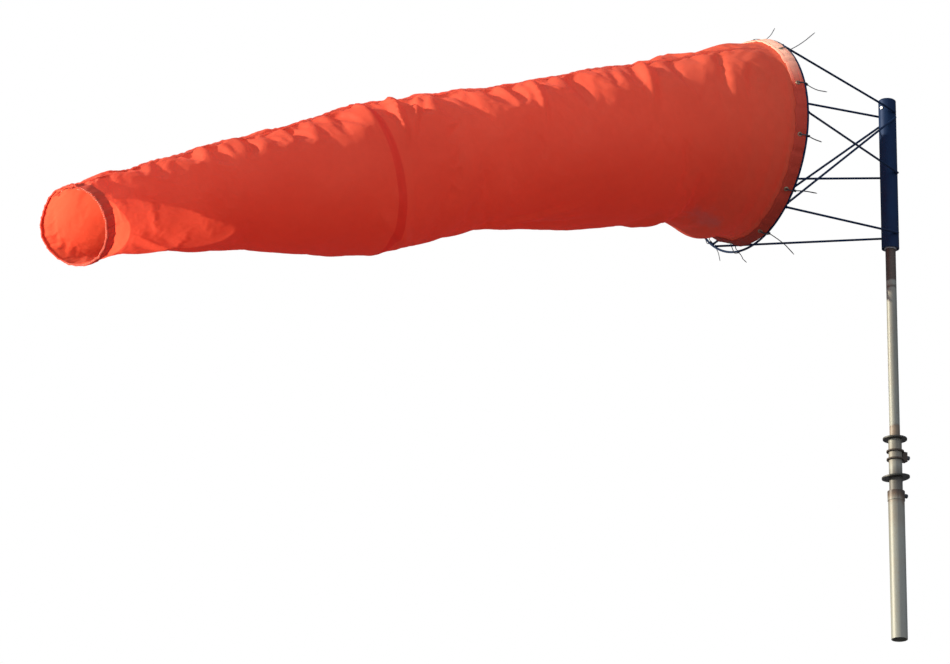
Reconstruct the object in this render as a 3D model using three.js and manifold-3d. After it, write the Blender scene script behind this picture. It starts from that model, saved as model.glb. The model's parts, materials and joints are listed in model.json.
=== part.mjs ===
// Windsock on a telescoping pole: galvanised mast, swivelling cage with hoop, tied fabric cone.
// Units are millimetres. +Z is up, the origin is the centre of the mast's foot, the cone streams to -X.
import * as THREE from 'three';
import { mergeVertices } from 'three/addons/utils/BufferGeometryUtils.js';
import Module from 'manifold-3d';

const wasm = await Module();
wasm.setup();

// ---- driving dimensions -------------------------------------------------------------------
const GAP = 0.3;                 // clearance left between neighbouring pieces

const LOWER_TUBE_R = 17.45;
const MID_TUBE_R = 14.3;
const UPPER_TUBE_R = 11.1;
const TUBE_WALL = 1.6;
const LOWER_TUBE_TOP = 325;
const MID_TUBE_BOTTOM = 120;
const MID_TUBE_TOP = 441;
const UPPER_TUBE_BOTTOM = 305;
const UPPER_TUBE_TOP = 1150;

const LOCK_COLLAR_R = 18.5;
const LOCK_COLLAR_LENGTH = 20;
const LOCK_BOLT_Z = 320;
const LOCK_BOLT_STANDOFF = 5;      // thread showing between the collar and the bolt's head
const CLAMP_Z = 406;
const CLAMP_LENGTH = 21;
const CLAMP_BAND_R = 18.8;
const CLAMP_BAND_T = 3;
const CLAMP_LUG_END = 27;
const CLAMP_LUG_WIDTH = 13;
const JAM_NUT_T = 3.2;
const BOLT_SHANK_R = 3;
const BOLT_HOLE_R = 3.3;
const BOLT_HEAD_R = 5;
const BOLT_HEAD_T = 4;

const UPPER_RING_R = 26;
const LOWER_RING_R = 30;
const RING_T = 3;
const LOWER_RING_Z = 357;
const LOWER_RING_TILT = 4.5;     // degrees, +X side higher
const RING_HOLE_R = 2.6;
const RING_HOLE_COUNT = 4;

const SLEEVE_R = 19.05;
const SLEEVE_WALL = 3;
const SLEEVE_BOTTOM = 873;
const SLEEVE_TOP = 1211;
const BUSHING_NECK_R = 12.8;
const BUSHING_NECK_DROP = 2;     // neck showing below the sleeve
const BUSHING_RECESS = 8;
const CAP_SCREW_Z = 1192;
const CAP_SCREW_TURN = 17;       // degrees from -X towards -Y

const HOOP_R = 228.6;
const ROD_R = 2.38;
const HOOP_X = -362;
const HOOP_Z = 1036;
const UPPER_ARM_ANGLE = 36;      // degrees round the hoop from its top
const MID_ARM_ANGLE = 90;
const LOWER_ARM_ANGLE = 142;
const ARM_PAIR_OFFSET = 1.1;     // degrees either side of LOWER_ARM_ANGLE for arm and brace
const UPPER_ARM_Z = 1183;
const BRACE_Z = 1171;
const MID_ARM_Z = 1044;
const LOWER_ARM_Z = 905;
const ROD_OVERRUN = 0.5;         // rod length past the sleeve's tangent point

const TIE_COUNT = 12;
const TIE_START_ANGLE = 13;
const TIE_WIDTH = 3;
const TIE_T = 1.1;
const GROMMET_X = -16;           // from the hoop plane
const GROMMET_R = 6.5;
const GROMMET_BARREL_R = 3.5;
const GROMMET_HOLE_R = 2.75;
const GROMMET_FLANGE_T = 0.7;

const FABRIC_T = 1.6;            // shell thickness that stands for the cloth and its hems
const THROAT_R = 219;
const THROAT_START = 4;
const THROAT_END = 46;
const FRONT_START = 290;
const SEAM_START = 862;
const REAR_START = 960;
const TAIL_START = 1500;
const TAIL_MIDDLE = 1625;
const HEM_START = 1696;
const SOCK_LENGTH = 1724;
const SOCK_SEGMENTS = 32;

// Stations along the cone: distance, droop below level, turn towards -Y, upper and lower radius.
// The upper radius holds at LEAN degrees from the top towards -Y, the lower one opposite to it.
const LEAN = 23;
const STATIONS = [
  [0, 0, 0, 219, 219],
  [46, 0, 0, 218, 218],
  [100, 6, -0.5, 198, 206],
  [140, 9.5, -0.8, 184, 196],
  [180, 12.3, -1.1, 175, 182],
  [230, 13.2, -1.4, 166, 178],
  [300, 14.4, -1.8, 160, 178],
  [400, 15.4, -2.5, 152, 180],
  [600, 16.2, -4.2, 141, 160],
  [700, 16.6, -4.9, 140, 155],
  [900, 17.5, -3.2, 133, 166],
  [1050, 18.2, -1.6, 118, 160],
  [1250, 19.1, 3, 98, 126],
  [1450, 21.5, 8, 78, 102],
  [1580, 24, 13, 71, 92],
  [1724, 28.5, 28, 74, 90],
];

// Loose tail of each cable tie: length, direction (0 = towards the mast, 90 = outwards), kink.
const TIE_TAILS = [
  [46, 43, 22],
  [66, 46, 10],
  [58, -16, 20],
  [58, -34, 14],
  [66, -20, 16],
  [70, 32, 18],
  [30, 44, -16],
  [54, 36, 20],
  [48, -24, 18],
  [52, -30, -14],
  [56, 30, 16],
  [50, 40, -18],
];

// ---- worked-out values --------------------------------------------------------------------
const rad = (deg) => (deg * Math.PI) / 180;
const SLEEVE_BORE = SLEEVE_R - SLEEVE_WALL;
const UPPER_TUBE_BORE = UPPER_TUBE_R - TUBE_WALL;
const PLUG_FLANGE_Z = UPPER_TUBE_TOP + GAP;
const SPINDLE_TOP = 1180;
const BALL_R = 4;
const BALL_Z = SPINDLE_TOP + GAP + BALL_R;
const CAP_PLUG_Z = BALL_Z + BALL_R + GAP;
const ROD_REACH = SLEEVE_R + ROD_R + GAP;

// ---- materials ----------------------------------------------------------------------------
const FINISH = {
  galvanised: [0xc3bfa4, 0.55, 0.75],
  rusted: [0x6b4a35, 0.85, 0.3],
  zinc: [0xb9bcc0, 0.4, 0.9],
  navy_paint: [0x14202f, 0.45, 0.2],
  grey_plastic: [0xb6b8bb, 0.5, 0.0],
  black_plastic: [0x0d0f12, 0.4, 0.0],
  cloth: [0xd9432a, 0.85, 0.0],
};

const group = new THREE.Group();
group.name = 'windsock_with_pole';

function add(name, geometry, finish) {
  const [color, roughness, metalness] = FINISH[finish];
  const material = new THREE.MeshStandardMaterial({ color, roughness, metalness });
  material.name = `${name}_material`;
  const mesh = new THREE.Mesh(geometry, material);
  mesh.name = name;
  group.add(mesh);
}

// ---- solid helpers ------------------------------------------------------------------------
function toSolid(geometry) {
  const bare = geometry.clone();
  bare.deleteAttribute('normal');
  bare.deleteAttribute('uv');
  const merged = mergeVertices(bare, 1e-4);
  return new wasm.Manifold(
    new wasm.Mesh({
      numProp: 3,
      vertProperties: new Float32Array(merged.attributes.position.array),
      triVerts: new Uint32Array(merged.index.array),
    })
  );
}

function fromSolid(solid) {
  const mesh = solid.getMesh();
  const geometry = new THREE.BufferGeometry();
  geometry.setAttribute('position', new THREE.Float32BufferAttribute(mesh.vertProperties, 3));
  geometry.setIndex(new THREE.BufferAttribute(mesh.triVerts, 1));
  return geometry;
}

function cut(geometry, tools) {
  return fromSolid(tools.reduce((solid, tool) => solid.subtract(toSolid(tool)), toSolid(geometry)));
}

function join(geometries) {
  const solids = geometries.map(toSolid);
  return fromSolid(solids.reduce((whole, solid) => whole.add(solid)));
}

// Turned solid about Z from [radius, z] points; the outline runs bottom to top on the outside.
function turned(points, segments) {
  const outline = points.map(([r, z]) => new THREE.Vector2(r, z));
  if (points[0][0] > 0) {
    outline.push(outline[0].clone());
  }
  const geometry = new THREE.LatheGeometry(outline, segments);
  geometry.rotateX(Math.PI / 2);
  return geometry;
}

function tube(outer, inner, bottom, top, segments) {
  return turned([[inner, bottom], [outer, bottom], [outer, top], [inner, top]], segments);
}

// Round or polygonal bar between two points.
function bar(from, to, radius, segments) {
  const span = new THREE.Vector3().subVectors(to, from);
  const geometry = new THREE.CylinderGeometry(radius, radius, span.length(), segments);
  const turn = new THREE.Quaternion();
  turn.setFromUnitVectors(new THREE.Vector3(0, 1, 0), span.clone().normalize());
  geometry.applyQuaternion(turn);
  const middle = new THREE.Vector3().addVectors(from, to).multiplyScalar(0.5);
  geometry.translate(middle.x, middle.y, middle.z);
  return geometry;
}

function alongX(x0, x1, z, radius, segments) {
  return bar(new THREE.Vector3(x0, 0, z), new THREE.Vector3(x1, 0, z), radius, segments);
}

// Radial bolt on the +X side: shank tip at tip, head's inner face at seat.
function bolt(tip, seat, z, shank, head, headThickness) {
  const stem = alongX(tip, seat + headThickness / 2, z, shank, 12);
  const hex = alongX(seat, seat + headThickness, z, head, 6);
  return join([stem, hex]);
}

// ---- telescoping mast ---------------------------------------------------------------------
const lockHole = alongX(8, 24, LOCK_BOLT_Z, BOLT_HOLE_R, 16);
const lowerTube = tube(LOWER_TUBE_R, LOWER_TUBE_R - TUBE_WALL, 0, LOWER_TUBE_TOP, 40);
add('lower_mast_tube', cut(lowerTube, [lockHole]), 'galvanised');

const collarBottom = LOWER_TUBE_TOP - LOCK_COLLAR_LENGTH;
const collar = tube(LOCK_COLLAR_R, LOWER_TUBE_R + GAP, collarBottom, LOWER_TUBE_TOP + 1, 40);
add('lower_lock_collar', cut(collar, [lockHole]), 'rusted');
const lockTip = MID_TUBE_R + GAP;
const lockSeat = LOCK_COLLAR_R + LOCK_BOLT_STANDOFF;
const lockBolt = bolt(lockTip, lockSeat, LOCK_BOLT_Z, BOLT_SHANK_R, BOLT_HEAD_R, BOLT_HEAD_T);
add('lower_lock_bolt', lockBolt, 'zinc');

const clampHole = alongX(8, 30, CLAMP_Z, BOLT_HOLE_R, 16);
const stopScrewZ = LOWER_RING_Z - 4;
const stopHole = alongX(8, 18, stopScrewZ, 1.9, 12);
const midTube = tube(MID_TUBE_R, MID_TUBE_R - TUBE_WALL, MID_TUBE_BOTTOM, MID_TUBE_TOP, 36);
add('mid_mast_tube', cut(midTube, [clampHole, stopHole]), 'galvanised');

const clampLow = CLAMP_Z - CLAMP_LENGTH / 2;
const clampHigh = CLAMP_Z + CLAMP_LENGTH / 2;
const clampBore = MID_TUBE_R + GAP;
const lowerBand = tube(CLAMP_BAND_R, clampBore, clampLow, clampLow + CLAMP_BAND_T, 30);
const upperBand = tube(CLAMP_BAND_R, clampBore, clampHigh - CLAMP_BAND_T, clampHigh, 30);
const lugLength = CLAMP_LUG_END - MID_TUBE_R;
const lug = new THREE.BoxGeometry(lugLength, CLAMP_LUG_WIDTH, CLAMP_LENGTH);
lug.translate(MID_TUBE_R + lugLength / 2, 0, CLAMP_Z);
const clampClearance = tube(clampBore, 0, clampLow - 1, clampHigh + 1, 30);
const clampBody = join([lowerBand, upperBand, cut(lug, [clampClearance])]);
add('mast_clamp', cut(clampBody, [clampHole]), 'rusted');
const nutSeat = CLAMP_LUG_END + GAP;
const nut = alongX(nutSeat, nutSeat + JAM_NUT_T, CLAMP_Z, BOLT_HEAD_R + 0.4, 6);
const nutBore = alongX(nutSeat - 1, nutSeat + 5, CLAMP_Z, BOLT_HOLE_R, 12);
add('clamp_jam_nut', cut(nut, [nutBore]), 'zinc');
const clampTip = UPPER_TUBE_R + GAP;
const clampSeat = nutSeat + JAM_NUT_T + GAP;
const clampBolt = bolt(clampTip, clampSeat, CLAMP_Z, BOLT_SHANK_R, BOLT_HEAD_R, BOLT_HEAD_T);
add('clamp_bolt', clampBolt, 'zinc');

function guyRing(inner, outer, holeCircle) {
  const plate = tube(outer, inner, -RING_T / 2, RING_T / 2, 36);
  const holes = [];
  for (let i = 0; i < RING_HOLE_COUNT; i += 1) {
    const angle = rad(45 + (i * 360) / RING_HOLE_COUNT);
    const hole = tube(RING_HOLE_R, 0, -RING_T, RING_T, 12);
    hole.translate(holeCircle * Math.cos(angle), holeCircle * Math.sin(angle), 0);
    holes.push(hole);
  }
  return cut(plate, holes);
}

const upperRing = guyRing(UPPER_TUBE_R + 0.5, UPPER_RING_R, 20.5);
upperRing.translate(0, 0, MID_TUBE_TOP + GAP + RING_T / 2);
add('upper_guy_ring', upperRing, 'galvanised');
const lowerRing = guyRing(MID_TUBE_R + 0.7, LOWER_RING_R, 23.5);
lowerRing.rotateY(-rad(LOWER_RING_TILT));
lowerRing.translate(0, 0, LOWER_RING_Z);
add('lower_guy_ring', lowerRing, 'galvanised');
const stopScrew = bolt(MID_TUBE_R - TUBE_WALL, MID_TUBE_R + GAP, stopScrewZ, 1.6, 2.8, 2.4);
add('ring_stop_screw', stopScrew, 'zinc');

const upperTube = tube(UPPER_TUBE_R, UPPER_TUBE_BORE, UPPER_TUBE_BOTTOM, UPPER_TUBE_TOP, 32);
add('upper_mast_tube', upperTube, 'galvanised');

// ---- swivel -------------------------------------------------------------------------------
const spindleOutline = [
  [0, UPPER_TUBE_TOP - 40],
  [UPPER_TUBE_BORE - GAP, UPPER_TUBE_TOP - 40],
  [UPPER_TUBE_BORE - GAP, PLUG_FLANGE_Z],
  [UPPER_TUBE_R, PLUG_FLANGE_Z],
  [UPPER_TUBE_R, PLUG_FLANGE_Z + 5],
  [6, PLUG_FLANGE_Z + 5],
  [6, SPINDLE_TOP],
  [0, SPINDLE_TOP],
];
add('spindle_plug', turned(spindleOutline, 24), 'zinc');
add('upper_bearing', tube(SLEEVE_BORE - GAP, 6 + GAP, 1159, 1174, 28), 'zinc');
const ball = new THREE.SphereGeometry(BALL_R, 12, 8);
ball.translate(0, 0, BALL_Z);
add('thrust_ball', ball, 'zinc');

const bushingStep = SLEEVE_BOTTOM + BUSHING_RECESS;
const bushingOutline = [
  [UPPER_TUBE_R + GAP, SLEEVE_BOTTOM - BUSHING_NECK_DROP],
  [BUSHING_NECK_R, SLEEVE_BOTTOM - BUSHING_NECK_DROP],
  [BUSHING_NECK_R, bushingStep],
  [SLEEVE_BORE - GAP, bushingStep],
  [SLEEVE_BORE - GAP, bushingStep + 20],
  [UPPER_TUBE_R + GAP, bushingStep + 20],
];
add('lower_bushing', turned(bushingOutline, 28), 'grey_plastic');

const screwHole = alongX(-30, 30, CAP_SCREW_Z, 2.1, 12);
screwHole.rotateZ(rad(CAP_SCREW_TURN));
const sleeve = tube(SLEEVE_R, SLEEVE_BORE, SLEEVE_BOTTOM, SLEEVE_TOP, 36);
add('pivot_sleeve', cut(sleeve, [screwHole]), 'navy_paint');
const capOutline = [
  [0, CAP_PLUG_Z],
  [SLEEVE_BORE - GAP, CAP_PLUG_Z],
  [SLEEVE_BORE - GAP, SLEEVE_TOP + GAP],
  [SLEEVE_R, SLEEVE_TOP + GAP],
  [SLEEVE_R - 0.6, SLEEVE_TOP + 2.2],
  [SLEEVE_R - 3, SLEEVE_TOP + 4],
  [0, SLEEVE_TOP + 5],
];
const capPocketL = alongX(-30, -9, CAP_SCREW_Z, 2.1, 12);
const capPocketR = alongX(9, 30, CAP_SCREW_Z, 2.1, 12);
capPocketL.rotateZ(rad(CAP_SCREW_TURN));
capPocketR.rotateZ(rad(CAP_SCREW_TURN));
add('top_cap', cut(turned(capOutline, 36), [capPocketL, capPocketR]), 'navy_paint');
for (const [name, side] of [['cap_screw_1', -1], ['cap_screw_2', 1]]) {
  const screw = bolt(10, SLEEVE_R + GAP, CAP_SCREW_Z, 1.7, 3.1, 1.8);
  screw.rotateZ(rad(CAP_SCREW_TURN) + (side < 0 ? Math.PI : 0));
  add(name, screw, 'zinc');
}

// ---- hoop and cage rods -------------------------------------------------------------------
function hoopPoint(angle, radius, x) {
  const a = rad(angle);
  return new THREE.Vector3(HOOP_X + x, -radius * Math.sin(a), HOOP_Z + radius * Math.cos(a));
}

const hoop = new THREE.TorusGeometry(HOOP_R, ROD_R, 8, 48);
hoop.rotateY(Math.PI / 2);
hoop.translate(HOOP_X, 0, HOOP_Z);
add('hoop', hoop, 'navy_paint');

// Rod from the hoop to the sleeve, lying against the sleeve's side at its own height.
function cageRod(angle, endZ) {
  const start = hoopPoint(angle, HOOP_R, 0);
  const side = Math.sign(start.y);
  const reach = Math.hypot(start.x, start.y);
  const bearing = Math.atan2(start.y, start.x) - side * Math.acos(ROD_REACH / reach);
  const touch = new THREE.Vector2(Math.cos(bearing), Math.sin(bearing)).multiplyScalar(ROD_REACH);
  const run = new THREE.Vector2(touch.x - start.x, touch.y - start.y);
  const scale = (run.length() + ROD_OVERRUN) / run.length();
  const end = new THREE.Vector3(start.x + run.x * scale, start.y + run.y * scale, endZ);
  const along = new THREE.Vector3().subVectors(end, start).normalize();
  start.addScaledVector(along, ROD_R + 1);
  return bar(start, end, ROD_R, 10);
}

const RODS = [
  ['upper_arm', UPPER_ARM_ANGLE, UPPER_ARM_Z],
  ['brace_rod', LOWER_ARM_ANGLE - ARM_PAIR_OFFSET, BRACE_Z],
  ['mid_arm', MID_ARM_ANGLE, MID_ARM_Z],
  ['lower_arm', LOWER_ARM_ANGLE + ARM_PAIR_OFFSET, LOWER_ARM_Z],
];
for (const [name, angle, z] of RODS) {
  add(`${name}_near`, cageRod(angle, z), 'navy_paint');
  add(`${name}_far`, cageRod(-angle, z), 'navy_paint');
}

// ---- cable ties and grommets --------------------------------------------------------------
// Both are built with +X towards the mast, +Z outwards, then set round the hoop.
function placeOnHoop(geometry, angle) {
  geometry.rotateX(rad(angle));
  geometry.translate(HOOP_X, 0, HOOP_Z);
  return geometry;
}

function roundedPath(target, x0, z0, x1, z1, r) {
  target.moveTo(x0 + r, z0);
  target.lineTo(x1 - r, z0);
  target.absarc(x1 - r, z0 + r, r, -Math.PI / 2, 0, false);
  target.lineTo(x1, z1 - r);
  target.absarc(x1 - r, z1 - r, r, 0, Math.PI / 2, false);
  target.lineTo(x0 + r, z1);
  target.absarc(x0 + r, z1 - r, r, Math.PI / 2, Math.PI, false);
  target.lineTo(x0, z0 + r);
  target.absarc(x0 + r, z0 + r, r, Math.PI, 1.5 * Math.PI, false);
  return target;
}

// Flat outline in the X-Z plane given thickness along Y, centred on Y = 0.
function slab(shape, width) {
  const geometry = new THREE.ExtrudeGeometry(shape, {
    depth: width,
    bevelEnabled: false,
    curveSegments: 1,
  });
  geometry.translate(0, 0, -width / 2);
  geometry.rotateX(Math.PI / 2);
  return geometry;
}

const LOOP_FRONT = ROD_R + 0.45;
const LOOP_TOP = HOOP_R + ROD_R + 0.45;
const LOOP_BACK = GROMMET_X + TIE_T / 2;
const LOOP_BOTTOM = THROAT_R - FABRIC_T - 0.45 - GROMMET_FLANGE_T - 0.5;

function cableTie([length, direction, kink]) {
  const outer = roundedPath(
    new THREE.Shape(),
    LOOP_BACK - TIE_T,
    LOOP_BOTTOM - TIE_T,
    LOOP_FRONT + TIE_T,
    LOOP_TOP + TIE_T,
    2.6
  );
  const inner = roundedPath(new THREE.Path(), LOOP_BACK, LOOP_BOTTOM, LOOP_FRONT, LOOP_TOP, 1.5);
  outer.holes.push(inner);
  const loop = slab(outer, TIE_WIDTH);
  const headX = LOOP_FRONT + 0.3 + 2.6;
  const headZ = HOOP_R - 3;
  const head = new THREE.BoxGeometry(5.2, 5, 5.2);
  head.translate(headX, 0, headZ);
  const first = length * 0.62;
  const a0 = rad(direction);
  const a1 = rad(direction + kink);
  const p0 = new THREE.Vector2(headX, headZ);
  const p1 = new THREE.Vector2(p0.x + first * Math.cos(a0), p0.y + first * Math.sin(a0));
  const rest = length - first;
  const p2 = new THREE.Vector2(p1.x + rest * Math.cos(a1), p1.y + rest * Math.sin(a1));
  const h = TIE_T / 2;
  const n0 = new THREE.Vector2(-Math.sin(a0), Math.cos(a0)).multiplyScalar(h);
  const n1 = new THREE.Vector2(-Math.sin(a1), Math.cos(a1)).multiplyScalar(h);
  const nm = new THREE.Vector2().addVectors(n0, n1).multiplyScalar(0.5);
  const tail = new THREE.Shape([
    new THREE.Vector2(p0.x - n0.x, p0.y - n0.y),
    new THREE.Vector2(p1.x - nm.x, p1.y - nm.y),
    new THREE.Vector2(p2.x - n1.x, p2.y - n1.y),
    new THREE.Vector2(p2.x + n1.x, p2.y + n1.y),
    new THREE.Vector2(p1.x + nm.x, p1.y + nm.y),
    new THREE.Vector2(p0.x + n0.x, p0.y + n0.y),
  ]);
  return join([loop, head, slab(tail, TIE_WIDTH - 0.4)]);
}

const flangeIn = THROAT_R - FABRIC_T - 0.45;
const flangeOut = THROAT_R + 0.45;
const grommetOutline = [
  [GROMMET_HOLE_R, flangeIn - GROMMET_FLANGE_T],
  [GROMMET_R, flangeIn - GROMMET_FLANGE_T],
  [GROMMET_R, flangeIn],
  [GROMMET_BARREL_R, flangeIn],
  [GROMMET_BARREL_R, flangeOut],
  [GROMMET_R, flangeOut],
  [GROMMET_R, flangeOut + GROMMET_FLANGE_T],
  [GROMMET_HOLE_R, flangeOut + GROMMET_FLANGE_T],
];
const throatHoles = [];
for (let i = 0; i < TIE_COUNT; i += 1) {
  const angle = TIE_START_ANGLE + (i * 360) / TIE_COUNT;
  const label = String(i + 1).padStart(2, '0');
  add(`cable_tie_${label}`, placeOnHoop(cableTie(TIE_TAILS[i]), angle), 'black_plastic');
  const grommet = turned(grommetOutline, 10);
  grommet.translate(GROMMET_X, 0, 0);
  add(`grommet_${label}`, placeOnHoop(grommet, angle), 'zinc');
  const hole = tube(GROMMET_BARREL_R + 0.4, 0, THROAT_R - 10, THROAT_R + 10, 12);
  hole.translate(GROMMET_X, 0, 0);
  throatHoles.push(placeOnHoop(hole, angle));
}

// ---- fabric cone --------------------------------------------------------------------------
function stationValue(s, column) {
  let i = 0;
  while (i < STATIONS.length - 2 && s > STATIONS[i + 1][0]) {
    i += 1;
  }
  const low = STATIONS[i];
  const high = STATIONS[i + 1];
  const u = Math.min(1, Math.max(0, (s - low[0]) / (high[0] - low[0])));
  return low[column] + (high[column] - low[column]) * u;
}

function heading(s) {
  const droop = rad(stationValue(s, 1));
  const turn = rad(stationValue(s, 2));
  return new THREE.Vector3(
    -Math.cos(droop) * Math.cos(turn),
    -Math.cos(droop) * Math.sin(turn),
    -Math.sin(droop)
  );
}

function centreAt(s) {
  const point = new THREE.Vector3(HOOP_X, 0, HOOP_Z);
  const steps = Math.max(1, Math.ceil(s / 8));
  for (let i = 0; i < steps; i += 1) {
    point.addScaledVector(heading(((i + 0.5) * s) / steps), s / steps);
  }
  return point;
}

function ringAt(s, inset) {
  const along = heading(s);
  const side = new THREE.Vector3().crossVectors(along, new THREE.Vector3(0, 0, 1)).normalize();
  const up = new THREE.Vector3().crossVectors(side, along);
  const centre = centreAt(s);
  const upper = stationValue(s, 3);
  const lower = stationValue(s, 4);
  const ring = [];
  for (let i = 0; i < SOCK_SEGMENTS; i += 1) {
    const a = (i * 2 * Math.PI) / SOCK_SEGMENTS;
    const share = (1 + Math.cos(a - rad(LEAN))) / 2;
    const radius = upper * share + lower * (1 - share) - inset;
    const p = centre.clone();
    p.addScaledVector(up, radius * Math.cos(a));
    p.addScaledVector(side, -radius * Math.sin(a));
    ring.push(p);
  }
  return ring;
}

// Hollow length of cloth from s0 to s1, open at both ends.
function clothLength(s0, s1, steps) {
  const rings = [];
  for (let i = 0; i <= steps; i += 1) {
    const s = s0 + ((s1 - s0) * i) / steps;
    rings.push(ringAt(s, 0));
  }
  for (let i = steps; i >= 0; i -= 1) {
    const s = s0 + ((s1 - s0) * i) / steps;
    rings.push(ringAt(s, FABRIC_T));
  }
  const positions = [];
  rings.forEach((ring) => ring.forEach((p) => positions.push(p.x, p.y, p.z)));
  const index = [];
  const n = SOCK_SEGMENTS;
  for (let j = 0; j < rings.length; j += 1) {
    const next = (j + 1) % rings.length;
    for (let i = 0; i < n; i += 1) {
      const a = j * n + i;
      const b = j * n + ((i + 1) % n);
      const c = next * n + i;
      const d = next * n + ((i + 1) % n);
      index.push(a, c, b, b, c, d);
    }
  }
  const geometry = new THREE.BufferGeometry();
  geometry.setAttribute('position', new THREE.Float32BufferAttribute(positions, 3));
  geometry.setIndex(index);
  return geometry;
}

const throat = tube(THROAT_R, THROAT_R - FABRIC_T, -THROAT_END, -THROAT_START, 60);
throat.rotateY(Math.PI / 2);
throat.translate(HOOP_X, 0, HOOP_Z);
add('throat_hem', cut(throat, throatHoles), 'cloth');
add('front_flex', clothLength(THROAT_END + GAP, FRONT_START, 4), 'cloth');
add('front_panel', clothLength(FRONT_START + GAP, SEAM_START, 5), 'cloth');
add('seam_flex', clothLength(SEAM_START + GAP, REAR_START, 2), 'cloth');
add('rear_panel', clothLength(REAR_START + GAP, TAIL_START, 5), 'cloth');
add('tail_panel', clothLength(TAIL_START + GAP, TAIL_MIDDLE, 2), 'cloth');
add('tail_end_panel', clothLength(TAIL_MIDDLE + GAP, HEM_START, 2), 'cloth');
add('tail_hem', clothLength(HEM_START + GAP, SOCK_LENGTH, 1), 'cloth');

export default group;
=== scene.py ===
import json
import math

import bpy
import numpy as np
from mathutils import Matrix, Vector


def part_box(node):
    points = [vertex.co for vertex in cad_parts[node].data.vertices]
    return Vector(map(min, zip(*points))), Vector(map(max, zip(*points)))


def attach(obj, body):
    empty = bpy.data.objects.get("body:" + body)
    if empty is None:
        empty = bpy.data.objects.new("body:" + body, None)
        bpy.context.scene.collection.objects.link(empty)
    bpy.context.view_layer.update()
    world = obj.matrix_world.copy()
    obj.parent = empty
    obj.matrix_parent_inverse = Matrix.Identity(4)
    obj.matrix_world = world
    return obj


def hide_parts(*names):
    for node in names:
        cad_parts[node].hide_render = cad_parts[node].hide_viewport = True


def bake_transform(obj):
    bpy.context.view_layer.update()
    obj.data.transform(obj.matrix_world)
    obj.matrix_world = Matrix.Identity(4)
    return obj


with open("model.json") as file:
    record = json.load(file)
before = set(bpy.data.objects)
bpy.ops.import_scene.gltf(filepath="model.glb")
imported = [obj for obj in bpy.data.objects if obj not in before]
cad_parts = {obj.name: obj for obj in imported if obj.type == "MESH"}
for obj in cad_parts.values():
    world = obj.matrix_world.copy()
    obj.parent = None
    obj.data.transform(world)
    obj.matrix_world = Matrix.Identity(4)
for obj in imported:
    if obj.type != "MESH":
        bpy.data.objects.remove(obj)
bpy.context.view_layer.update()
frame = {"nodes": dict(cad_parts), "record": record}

scene = bpy.context.scene
MM = 0.001

# ------------------------------------------------------------------ facts from the frame
hoop_low, hoop_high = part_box("hoop")
HOOP_X = (hoop_low[0] + hoop_high[0]) / 2
HOOP_Z = (hoop_low[2] + hoop_high[2]) / 2
ROD_R = (hoop_high[0] - hoop_low[0]) / 2
HOOP_R = (hoop_high[2] - hoop_low[2]) / 2 - ROD_R
sleeve_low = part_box("pivot_sleeve")[0]


# ------------------------------------------------------------------ small helpers
def new_object(name, data):
    ob = bpy.data.objects.new(name, data)
    scene.collection.objects.link(ob)
    return ob


def unit(v):
    return v / np.linalg.norm(v, axis=-1, keepdims=True)


def interpolate(x, at, points):
    """Point at x on a path whose points belong to the values in at."""
    return np.stack([np.interp(x, at, points[:, i]) for i in range(3)], -1)


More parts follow.
